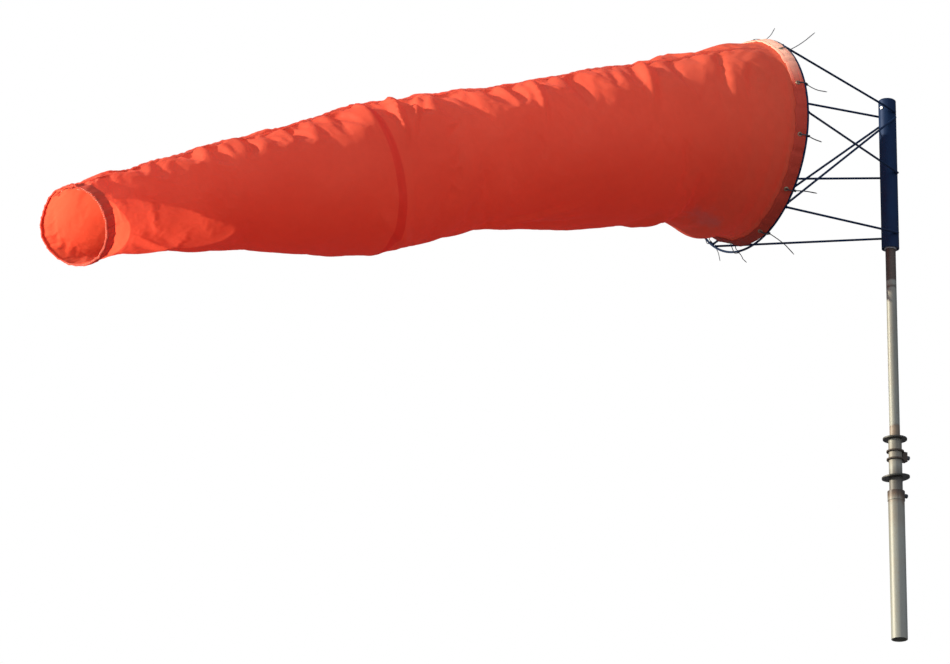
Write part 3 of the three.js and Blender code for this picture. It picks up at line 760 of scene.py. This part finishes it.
def far_side_folds():
    """The hidden side carries the same kind of folds as the near one, at other places."""
    r = np.random.default_rng(23)
    folds = []
    s = 150.0
    while s < 1600:
        reach = 30 + 45 * r.random()
        lean = r.uniform(-25, 40)
        depth = r.choice([-8, -6, -4])
        folds.append((s, 10, s + lean, 6 - reach, depth, r.uniform(12, 21), r.uniform(0.1, 0.6)))
        s += r.uniform(45, 85)
    for s0, a0, s1, a1 in ((940, -20, 958, -150), (700, -150, 500, -110), (1180, -120, 1000, -165),
                           (300, -140, 420, -80), (1480, -60, 1380, -130)):
        folds.append((s0, a0, s1, a1, r.choice([-6, 5]), 18, 0.3))
    return folds


FAR_FOLDS = far_side_folds()


def all_folds(s, a):
    turn = 2 * math.pi
    out = np.zeros_like(s)
    for shift in (-turn, 0.0, turn):
        out += fold_field(s, a + shift, FOLDS)
        out += fold_field(s, a + shift, FAR_FOLDS)
    fade = smoothstep(s, 0.035, 0.09)
    side = from_seam(s, a)
    return out * fade * (1 - np.exp(-(side / 0.10) ** 2))


ROWS, COLS = 216, 136
S_GRID = np.linspace(0.003, SOCK_LENGTH, ROWS)
SS = np.repeat(S_GRID[:, None], COLS, 1)
AA = seam_angle(SS) + np.arange(COLS)[None, :] * 2 * math.pi / COLS
BASE = cone_point(SS, AA, soft_shape(SS, AA))


# frames that the simulation runs, and the farthest that it may move a point
SIM_FRAMES, SIM_REACH = 24, 0.008


def settle(grid):
    """Cloth simulation: the seam is sewn shorter than the cloth beside it, which puckers."""
    n, m = grid.shape[:2]
    me = bpy.data.meshes.new("drape")
    me.from_pydata([tuple(v) for v in grid.reshape(-1, 3)], [], [f[::-1] for f in grid_faces(n, m)])
    ob = new_object("drape", me)
    held = ob.vertex_groups.new(name="held")
    gathered = ob.vertex_groups.new(name="gathered")
    side = np.abs(np.arange(m) - m * (np.arange(m) > m / 2)) * 2 * math.pi / m
    calm = smoothstep(side, 0.45, 0.95)
    for i in range(n):
        s = S_GRID[i]
        hold = 1.0 - float(smoothstep(np.array(s), 0.02, 0.06)) * 0.94
        if s > SOCK_LENGTH - 0.02:
            hold = 0.7
        for j in range(m):
            on_seam = min(j, m - j) == 0
            held.add([i * m + j], 1.0 if on_seam else hold, "REPLACE")
            gathered.add([i * m + j], float(calm[j]), "REPLACE")
    mod = ob.modifiers.new("cloth", "CLOTH")
    st = mod.settings
    st.quality = 5
    st.mass = 0.12
    st.tension_stiffness = st.compression_stiffness = 12
    st.shear_stiffness = 4
    st.bending_stiffness = 0.06
    st.vertex_group_mass = "held"
    st.pin_stiffness = 1.0
    st.vertex_group_shrink = "gathered"
    st.shrink_min = -0.032
    st.shrink_max = -0.003
    st.use_pressure = True
    st.uniform_pressure_force = 0.5
    st.effector_weights.gravity = 0
    mod.collision_settings.use_collision = False
    mod.collision_settings.use_self_collision = False
    mod.point_cache.frame_start = 1
    mod.point_cache.frame_end = SIM_FRAMES
    for frame_number in range(1, SIM_FRAMES + 1):
        scene.frame_set(frame_number)
    deps = bpy.context.evaluated_depsgraph_get()
    moved = np.zeros(n * m * 3)
    ob.evaluated_get(deps).data.vertices.foreach_get("co", moved)
    moved = moved.reshape(n, m, 3) - grid
    scene.frame_set(1)
    bpy.data.objects.remove(ob)
    bpy.data.meshes.remove(me)
    size = np.linalg.norm(moved, axis=2, keepdims=True)
    moved *= np.minimum(1, SIM_REACH / np.maximum(size, 1e-9))
    moved *= smoothstep(SS, 0.03, 0.08)[..., None]
    return grid + moved


cloth = settle(BASE)


def refine(grid, closed):
    """Double the rows and columns with a cubic through the points."""
    def along(points, periodic):
        if periodic:
            before, after = np.roll(points, 1, 0), np.roll(points, -1, 0)
            after2 = np.roll(points, -2, 0)
            middle = (-before + 9 * points + 9 * after - after2) / 16
            out = np.empty((2 * len(points),) + points.shape[1:])
            out[0::2], out[1::2] = points, middle
            return out
        padded = np.concatenate([2 * points[:1] - points[1:2], points, 2 * points[-1:] - points[-2:-1]])
        middle = (-padded[:-3] + 9 * padded[1:-2] + 9 * padded[2:-1] - padded[3:]) / 16
        out = np.empty((2 * len(points) - 1,) + points.shape[1:])
        out[0::2], out[1::2] = points, middle
        return out

    grid = along(grid, False)
    return along(grid.swapaxes(0, 1), closed).swapaxes(0, 1)


def normals_of(grid):
    down = np.gradient(grid, axis=0)
    round_it = np.roll(grid, -1, 1) - np.roll(grid, 1, 1)
    n = unit(np.cross(round_it, down))
    middle = grid.mean(1, keepdims=True)
    return n * np.sign(((grid - middle) * n).sum(2, keepdims=True))


FINE_GRID = refine(cloth, True)
FR, FC = FINE_GRID.shape[:2]
FS = np.linspace(S_GRID[0], S_GRID[-1], FR)
FSS = np.repeat(FS[:, None], FC, 1)
FAA = seam_angle(FSS) + np.arange(FC)[None, :] * 2 * math.pi / FC
STITCH = 0.0072


def fine_detail(s, a):
    """Small puckers at the stitched seam and at both hems, in metres outwards."""
    side = from_seam(s, a)
    off = np.abs(side) * 0.15
    near = np.exp(-(off / 0.010) ** 2)
    beat = 0.5 + 0.5 * wander(s / 0.09, 31)
    pucker = 0.0011 * near * np.sin(2 * math.pi * s / 0.0216 + 2 * wander(s / 0.12, 3)) * beat
    groove = -0.0012 * np.exp(-(off / 0.0035) ** 2)
    tail = smoothstep(s, SOCK_LENGTH - 0.055, SOCK_LENGTH - 0.02)
    ripple = 0.0009 * tail * (wander(a / 0.55, 17, 3))
    panel = 0.0011 * np.exp(-((s - 0.953 - 0.006 * np.sin(2 * a)) / 0.007) ** 4)
    throat = (1 - smoothstep(s, 0.02, 0.06)) * 0.0012 * wander(a / 0.5, 19, 3)
    valley = -0.0035 * np.exp(-((s - 0.034) / 0.0075) ** 2)
    return (pucker + groove) * smoothstep(s, 0.04, 0.08) + ripple + panel + throat + valley


NORMALS = normals_of(FINE_GRID)
SURFACE = FINE_GRID + NORMALS * (fine_detail(FSS, FAA) + all_folds(FSS, FAA))[..., None]
NORMALS = normals_of(SURFACE)


def on_cloth(s, a, lift=0.0):
    """Point and outward normal of the finished cloth at distance s and angle a."""
    s, a, lift = np.broadcast_arrays(np.asarray(s, float), np.asarray(a, float), np.asarray(lift, float))
    row = np.clip((s - FS[0]) / (FS[1] - FS[0]), -1, FR - 1.001)
    col = ((a - seam_angle(s)) / (2 * math.pi) % 1.0) * FC
    i = np.clip(np.floor(row).astype(int), 0, FR - 2)
    j = np.floor(col).astype(int) % FC
    u, v = (row - i)[..., None], (col - np.floor(col))[..., None]
    k = (j + 1) % FC

    def blend(field):
        return ((field[i, j] * (1 - v) + field[i, k] * v) * (1 - u)
                + (field[i + 1, j] * (1 - v) + field[i + 1, k] * v) * u)

    n = unit(blend(NORMALS))
    return blend(SURFACE) + n * lift[..., None], n


WORN_SPOT = tuple(on_cloth(WORN_S, WORN_A)[0])
CLOTH = cloth_material("orange_cloth", CLOTH_TINT, 0.48, GLOW, 0.04, panel_join)
# the hem is painted paler along its top: painted sunlight
HEM = cloth_material("orange_hem", (0.58, 0.056, 0.030), 0.22, GLOW, 0.04, painted_sunlit_top)
TAIL_HEM = cloth_material("orange_tail_hem", (0.68, 0.080, 0.042), 0.45, GLOW, 0.04)
FLAP = cloth_material("orange_flap", (0.88, 0.26, 0.17), 0.6, (1.0, 0.28, 0.18), 0.10)


# ------------------------------------------------------------------ cloth pieces
def cross_front(ob):
    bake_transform(ob)


def cross_rear(ob):
    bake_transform(ob)


FLEX = [tuple(float(x) for x in frames_at(np.array([v]))[0][0]) for v in (0.05, 0.29, 0.866, 0.96)]


def cut_cloth():
    cut = int(np.searchsorted(FS, SEAM_S))
    uv = np.stack([FAA.ravel() * 0.15, FSS.ravel()], 1)
    points = SURFACE.reshape(-1, 3)
    pieces = []
    for name, lo, hi in (("sock_front_cloth", 0, cut + 1), ("sock_rear_cloth", cut, FR)):
        rows = slice(lo * FC, hi * FC)
        faces = [f[::-1] for f in grid_faces(hi - lo, FC)]
        pieces.append(mesh_object(name, points[rows], faces, CLOTH, uv[rows]))
    return pieces


front, rear = cut_cloth()
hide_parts("throat_hem", "front_flex", "front_panel")
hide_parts("seam_flex", "rear_panel", "tail_panel", "tail_end_panel", "tail_hem")
cross_front(front)
cross_rear(rear)


def band(name, section, material, count=216, ripple=None):
    """Folded tape round the cone: section is (s, lift) pairs across it."""
    a = np.arange(count) * 2 * math.pi / count
    section = np.array(section, float)
    wide = np.repeat(section[None], count, 0)
    if ripple is not None:
        wide = ripple(wide, a)
    points, _ = on_cloth(wide[..., 0], a[:, None], wide[..., 1])
    m = len(section)
    shell = Shell()
    shell.add(points.reshape(-1, 3), [f[::-1] for f in ring_faces(count, m)])
    uv = np.stack([np.repeat(a, m) * 0.15, np.cumsum(np.ones(count * m)) % m * 0.004], 1)
    return shell.piece(name, material, "orange_cloth", uv=uv)


def scallop(wide, a):
    wide = wide.copy()
    outer = wide[..., 1] > 0
    wave = 0.0012 * wander(a / 0.42, 41, 3)[:, None]
    wide[..., 1] += np.where(outer, np.abs(wave), 0)
    wide[..., 0] += np.where(wide[..., 0] > 0.02, wave, 0)
    return wide


throat_band = band("throat_band", [
    (0.0270, 0.0003), (0.0265, 0.0012), (0.0200, 0.0016), (0.0120, 0.0014), (0.0060, 0.0015),
    (0.0034, 0.0012), (0.0026, 0.0000), (0.0034, -0.0012), (0.0120, -0.0012), (0.0240, -0.0012),
    (0.0255, -0.0006)], HEM, 288, scallop)
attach(throat_band, "swivel_frame")
E = SOCK_LENGTH


def narrow_on_far_side(wide, a):
    """The tape is turned in on the far side, where less of it shows."""
    wide = scallop(wide, a)
    share = 0.28 + 0.72 * smoothstep(np.sin(a), -0.5, 0.6)[:, None]
    wide[..., 0] = E - (E - wide[..., 0]) * share
    return wide


tail_band = band("tail_band", [
    (E - 0.0006, -0.0012), (E, -0.0002), (E - 0.0008, 0.0012), (E - 0.010, 0.0014), (E - 0.022, 0.0012),
    (E - 0.0355, 0.0014), (E - 0.0365, 0.0003), (E - 0.020, 0.0001), (E - 0.0055, 0.0001),
    (E - 0.004, -0.0010)],
    TAIL_HEM, 240, narrow_on_far_side)
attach(tail_band, "sock_rear")


FLAP_SECTION = ((-1.0, 0.0), (-0.8, 0.45), (-0.7, 0.92), (0.0, 1.0), (0.7, 0.92), (0.8, 0.45), (1.0, 0.0))


def flap_piece(name, s0, s1, cross):
    """The seam's raw edges, sewn together and standing up along the top."""
    s = np.linspace(s0, s1, int((s1 - s0) / 0.004) + 2)
    a = seam_angle(s)
    lean = 0.25 + 0.10 * wander(s / 0.11, 51, 3)
    tall = 0.0052 + 0.0006 * wander(s / 0.07, 53, 3)
    tall *= smoothstep(s, 0.03, 0.08)
    base, n = on_cloth(s, a, -0.0006)
    across = np.cross(unit(np.gradient(base, axis=0)), n)
    rows = []
    for side, height in FLAP_SECTION:
        gap = 0.0007 * (1 + 0.5 * wander(s / 0.02, 57, 2)) * side
        rise = tall * height
        rows.append(base + n * rise[:, None] + across * (gap + rise * lean)[:, None])
    grid = np.stack(rows, 1)
    shell = Shell()
    shell.add(grid.reshape(-1, 3), grid_faces(len(s), grid.shape[1], False))
    uv = np.stack([np.tile(np.arange(grid.shape[1]) * 0.003, len(s)), np.repeat(s, grid.shape[1])], 1)
    ob = shell.piece(name, FLAP, "orange_cloth", uv=uv)
    cross(ob)
    return ob


def stitch_points(route, n, pitch, spread):
    """Points of each stitch along a route, and the cloth's normal in its middle."""
    gone = np.concatenate([[0], np.cumsum(np.linalg.norm(np.diff(route, axis=0), axis=1))])
    at = pitch / 2
    while at + pitch < gone[-1]:
        yield interpolate(at + pitch * np.array(spread), gone, route), interpolate(at, gone, n)
        at += pitch


def dashes(shell, s, a, pitch, radius, length=0.6):
    """Short raised stitches along a route on the cloth, with both ends sunk into it."""
    route, n = on_cloth(s, a, radius * 0.5)
    for pts, up in stitch_points(route, n, pitch, [length * k for k in (-0.5, -0.2, 0.2, 0.5)]):
        up = unit(up)
        pts[[0, 3]] -= up * radius * 1.2
        shell.sweep(pts, circle(radius, 5), up)


flaps = [flap_piece("seam_flap_front", 0.03, SEAM_S, cross_front),
         flap_piece("seam_flap_rear", SEAM_S, SOCK_LENGTH - 0.004, cross_rear)]


def seam_stitches(name, s0, s1, cross):
    shell = Shell()
    s = np.linspace(s0, s1, 500)
    dashes(shell, s, seam_angle(s) + 0.0032 / 0.13, STITCH, 0.00055, 0.62)
    ob = shell.piece(name, RED_THREAD, "orange_cloth")
    cross(ob)
    return ob


front_stitches = seam_stitches("seam_stitches_front", 0.05, SEAM_S, cross_front)
rear_stitches = seam_stitches("seam_stitches_rear", SEAM_S, SOCK_LENGTH - 0.03, cross_rear)


def ring_stitches(name, rows, lift, body, pitch=0.0055, radius=0.0004):
    """Stitches all round the cone at each distance in rows."""
    shell = Shell()
    a = np.linspace(0, 2 * math.pi, 721)
    for s in rows:
        route, n = on_cloth(np.full_like(a, s), a, lift)
        for pts, up in stitch_points(route, n, pitch, (-0.3, 0.0, 0.3)):
            shell.sweep(pts, circle(radius, 4), up)
    return shell.piece(name, RED_THREAD, "orange_cloth", body)


throat_stitches = ring_stitches("throat_stitches", (0.0085, 0.0225), 0.0018, "swivel_frame")
tail_stitches = ring_stitches("tail_stitches", (E - 0.0065,), 0.0017, "sock_rear")


def tail_thread():
    """Pale thread whipped over the tail's edge, with a tangle of repair stitches near the top."""
    shell = Shell()
    turns = 52
    n = turns * 10
    u = np.arange(n) / n
    a = 0.6 + u * 3.1
    phase = u * turns * 2 * math.pi
    s = E - 0.0018 + 0.0021 * np.cos(phase)
    lift = 0.0021 * np.sin(phase)
    route, _ = on_cloth(np.minimum(s, E), a, lift)
    beyond = np.maximum(0, s - E)
    route += frames_at(np.array([E]))[1][0] * beyond[:, None]
    shell.sweep(route, circle(0.00036, 5), frames_at(np.array([E]))[1][0] + 0.01)
    r = np.random.default_rng(77)
    for _ in range(16):
        a0 = math.radians(r.uniform(-34, 26))
        s0 = E - r.uniform(0.004, 0.022)
        steps = 9
        aa = a0 + np.cumsum(r.normal(0, 0.028, steps))
        ss = np.clip(s0 + np.cumsum(r.normal(0, 0.0035, steps)), E - 0.03, E - 0.002)
        pts, _ = on_cloth(ss, aa, -0.0028 - 0.002 * r.random(steps))
        shell.sweep(pts, circle(0.0006, 5), (0.02, 1.0, 0.013))
    return shell.piece("tail_thread", THREAD, "orange_cloth", "sock_rear")


thread = tail_thread()


# ------------------------------------------------------------------ hoop, rods and welds
def hoop_ring():
    a = np.arange(160) * 2 * math.pi / 160
    path = np.stack([np.full_like(a, HOOP_X), -HOOP_R * np.sin(a), HOOP_Z + HOOP_R * np.cos(a)], 1)
    outward = np.stack([a * 0, -np.sin(a), np.cos(a)], 1)
    shell = Shell()
    shell.sweep(path, circle(ROD_R, 12), outward, closed=True)
    return shell.piece("hoop_ring", NAVY, "navy_paint", "swivel_frame", ("hoop",))


hoop_ring()
ARMS = [n for n in frame["nodes"] if n.endswith(("_near", "_far"))]


def rod_ends(node):
    """Centres of a rod's two ends, hoop end first."""
    me = frame["nodes"][node].data
    v = np.empty(len(me.vertices) * 3)
    me.vertices.foreach_get("co", v)
    v = v.reshape(-1, 3)
    centre = v.mean(0)
    axis = np.linalg.svd(v - centre, full_matrices=False)[2][0]
    t = (v - centre) @ axis
    ends = [v[t < t.min() + 0.001].mean(0), v[t > t.max() - 0.001].mean(0)]
    ends.sort(key=lambda p: p[0])
    return ends


def cage():
    rods, welds = Shell(), Shell()
    r = np.random.default_rng(3)
    for node in sorted(ARMS):
        p, q = rod_ends(node)
        d = unit(q - p)
        u = np.linspace(0, 1, 9)[:, None]
        rods.sweep(p + (q - p) * u, circle(ROD_R, 14), (0.03, 1.0, 0.02))
        side = unit(np.cross(d, [0, 0, 1.0]))
        high = np.cross(side, d)
        for k in range(9):
            g = 2 * math.pi * k / 9 + r.random() * 0.3
            out = side * math.cos(g) + high * math.sin(g)
            spot = p + out * ROD_R * 0.9 + d * r.uniform(-0.0002, 0.0010)
            welds.blob(spot, (0.0013, 0.0013, 0.0013), rows=5, cols=7)
        # the other end lies against the sleeve's flank
        for k in np.arange(-5, 6) * 0.0009:
            at = q - d * 0.0050 + d * k
            inward = unit(-np.array([at[0], at[1], 0]))
            for lift in (-1, 1):
                spot = at + inward * ROD_R * 0.75 + np.array([0, 0, lift]) * ROD_R * 0.75
                welds.blob(spot + r.normal(0, 0.0001, 3), (0.0012, 0.0012, 0.0011), rows=5, cols=7)
    rods.piece("cage_rods", NAVY, "navy_paint", "swivel_frame", tuple(ARMS))
    welds.piece("cage_welds", NAVY, "navy_paint", "swivel_frame")


cage()


# ------------------------------------------------------------------ ties and eyelets
TIE_START, TIE_COUNT = 13, 12
TIE_TAILS = [(46, 43, 22), (66, 46, 10), (58, -16, 20), (58, -34, 14), (66, -20, 16), (70, 32, 18),
             (30, 44, -16), (54, 36, 20), (48, -24, 18), (52, -30, -14), (56, 30, 16), (50, 40, -18)]
EYELET_X = -0.016


def around_hoop(angle):
    """Axes at a tie: towards the mast, along the hoop, outwards."""
    out = np.array([0, -math.sin(angle), math.cos(angle)])
    x = np.array([1.0, 0, 0])
    return np.stack([x, np.cross(out, x), out])


def tie_and_eyelet(index):
    angle = math.radians(TIE_START + index * 360 / TIE_COUNT)
    axes = around_hoop(angle)
    origin = np.array([HOOP_X, 0, HOOP_Z])
    seat, n = on_cloth(np.array([-EYELET_X]), np.array([angle]), 0.0)
    seat, n = seat[0], n[0]
    high = float((seat - origin) @ axes[2])

    def place(points):
        points = np.asarray(points, float)
        return origin + points @ axes

    # eyelet: a rolled brass ring on both faces of the hem
    e = Shell()
    u = unit(np.cross(n, axes[1]))
    v = np.cross(n, u)
    profile = [(2.7, -2.3), (3.7, -2.8), (4.8, -2.0), (5.2, -1.3), (3.2, -1.2), (3.2, 1.5), (5.2, 1.7),
               (4.8, 2.4), (3.7, 3.0), (2.7, 2.6)]
    g = np.arange(28) * 2 * math.pi / 28
    pts = np.array([[seat + (u * math.cos(t) + v * math.sin(t)) * r * MM + n * z * MM for r, z in profile]
                    for t in g])
    e.add(pts.reshape(-1, 3), ring_faces(28, len(profile)))
    label = f"{index + 1:02d}"
    e.piece("eyelet_" + label, BRASS, "zinc_plate", "swivel_frame", ("grommet_" + label,))

    # tie: strap through the eyelet and round the hoop, with a head and a free tail
    t = Shell()
    h = HOOP_R
    loop = np.array([
        (0.0035, h + 0.0005), (0.0030, h + 0.0030), (0.0, h + 0.0036), (-0.0040, h + 0.0030),
        (-0.0100, (h + high) / 2 + 0.0040), (-0.0150, high + 0.0042), (-0.0163, high + 0.0026),
        (-0.0165, high), (-0.0160, high - 0.0026), (-0.0140, high - 0.0040),
        (-0.0080, high - 0.0036), (-0.0010, h - 0.0060), (0.0026, h - 0.0040), (0.0038, h - 0.0018)])
    dense = []
    k = len(loop)
    for i in range(k):
        p0, p1, p2, p3 = loop[i - 1], loop[i], loop[(i + 1) % k], loop[(i + 2) % k]
        for w in (0.0, 0.25, 0.5, 0.75):
            dense.append(0.5 * ((2 * p1) + (p2 - p0) * w + (2 * p0 - 5 * p1 + 4 * p2 - p3) * w * w
                                + (3 * p1 - p0 - 3 * p2 + p3) * w ** 3))
    dense = np.array(dense)
    path = place(np.stack([dense[:, 0], dense[:, 0] * 0, dense[:, 1]], 1))
    middle = path.mean(0)
    strap = bar(0.0026, 0.0010)
    outward = path - middle
    t.sweep(path, strap, outward, closed=True)
    head = place([[0.0056, 0, h - 0.0006]])[0]
    length, direction, kink = TIE_TAILS[index]
    a0, a1 = math.radians(direction), math.radians(direction + kink)
    aim0 = axes[0] * math.cos(a0) + axes[2] * math.sin(a0)
    aim1 = axes[0] * math.cos(a1) + axes[2] * math.sin(a1)
    across = np.cross(aim0, axes[1])
    t.blob(head, (0.0026, 0.0025, 0.0021), np.stack([aim0, axes[1], across]), 8, 12, 0.35)
    first = length * 0.62 * MM
    rest = length * MM - first
    start = head + aim0 * 0.001
    knee = head + aim0 * first
    tip = knee + aim1 * rest
    pts = [start]
    for w in np.linspace(0.12, 0.88, 7):
        sag = math.sin(w * math.pi) * 0.0012
        pts.append(start + (knee - start) * w - across * sag)
    pts += [knee - aim0 * 0.0015, knee + aim1 * 0.0015]
    for w in np.linspace(0.2, 1.0, 5):
        pts.append(knee + (tip - knee) * w)
    pts = np.array(pts)
    widths = np.ones(len(pts))
    widths[-1] = 0.45
    sections = np.stack([bar(0.0024 * w, 0.0010) for w in widths])
    t.sweep(pts, sections, across)
    t.piece("tie_" + label, BLACK, "black_nylon", "swivel_frame", ("cable_tie_" + label,))


for index in range(TIE_COUNT):
    tie_and_eyelet(index)

# ------------------------------------------------------------------ soft edges on the metal parts
for name, ob in frame["nodes"].items():
    if slot_of[name] in ("galvanised_steel", "navy_paint", "rusted_steel", "grey_plastic", "zinc_plate"):
        if name.startswith(("hoop", "grommet")) or name in ARMS:
            continue
        soft = ob.modifiers.new("edge", "BEVEL")
        soft.width = 0.0003
        soft.segments = 2
        soft.limit_method = "ANGLE"
        soft.angle_limit = math.radians(40)
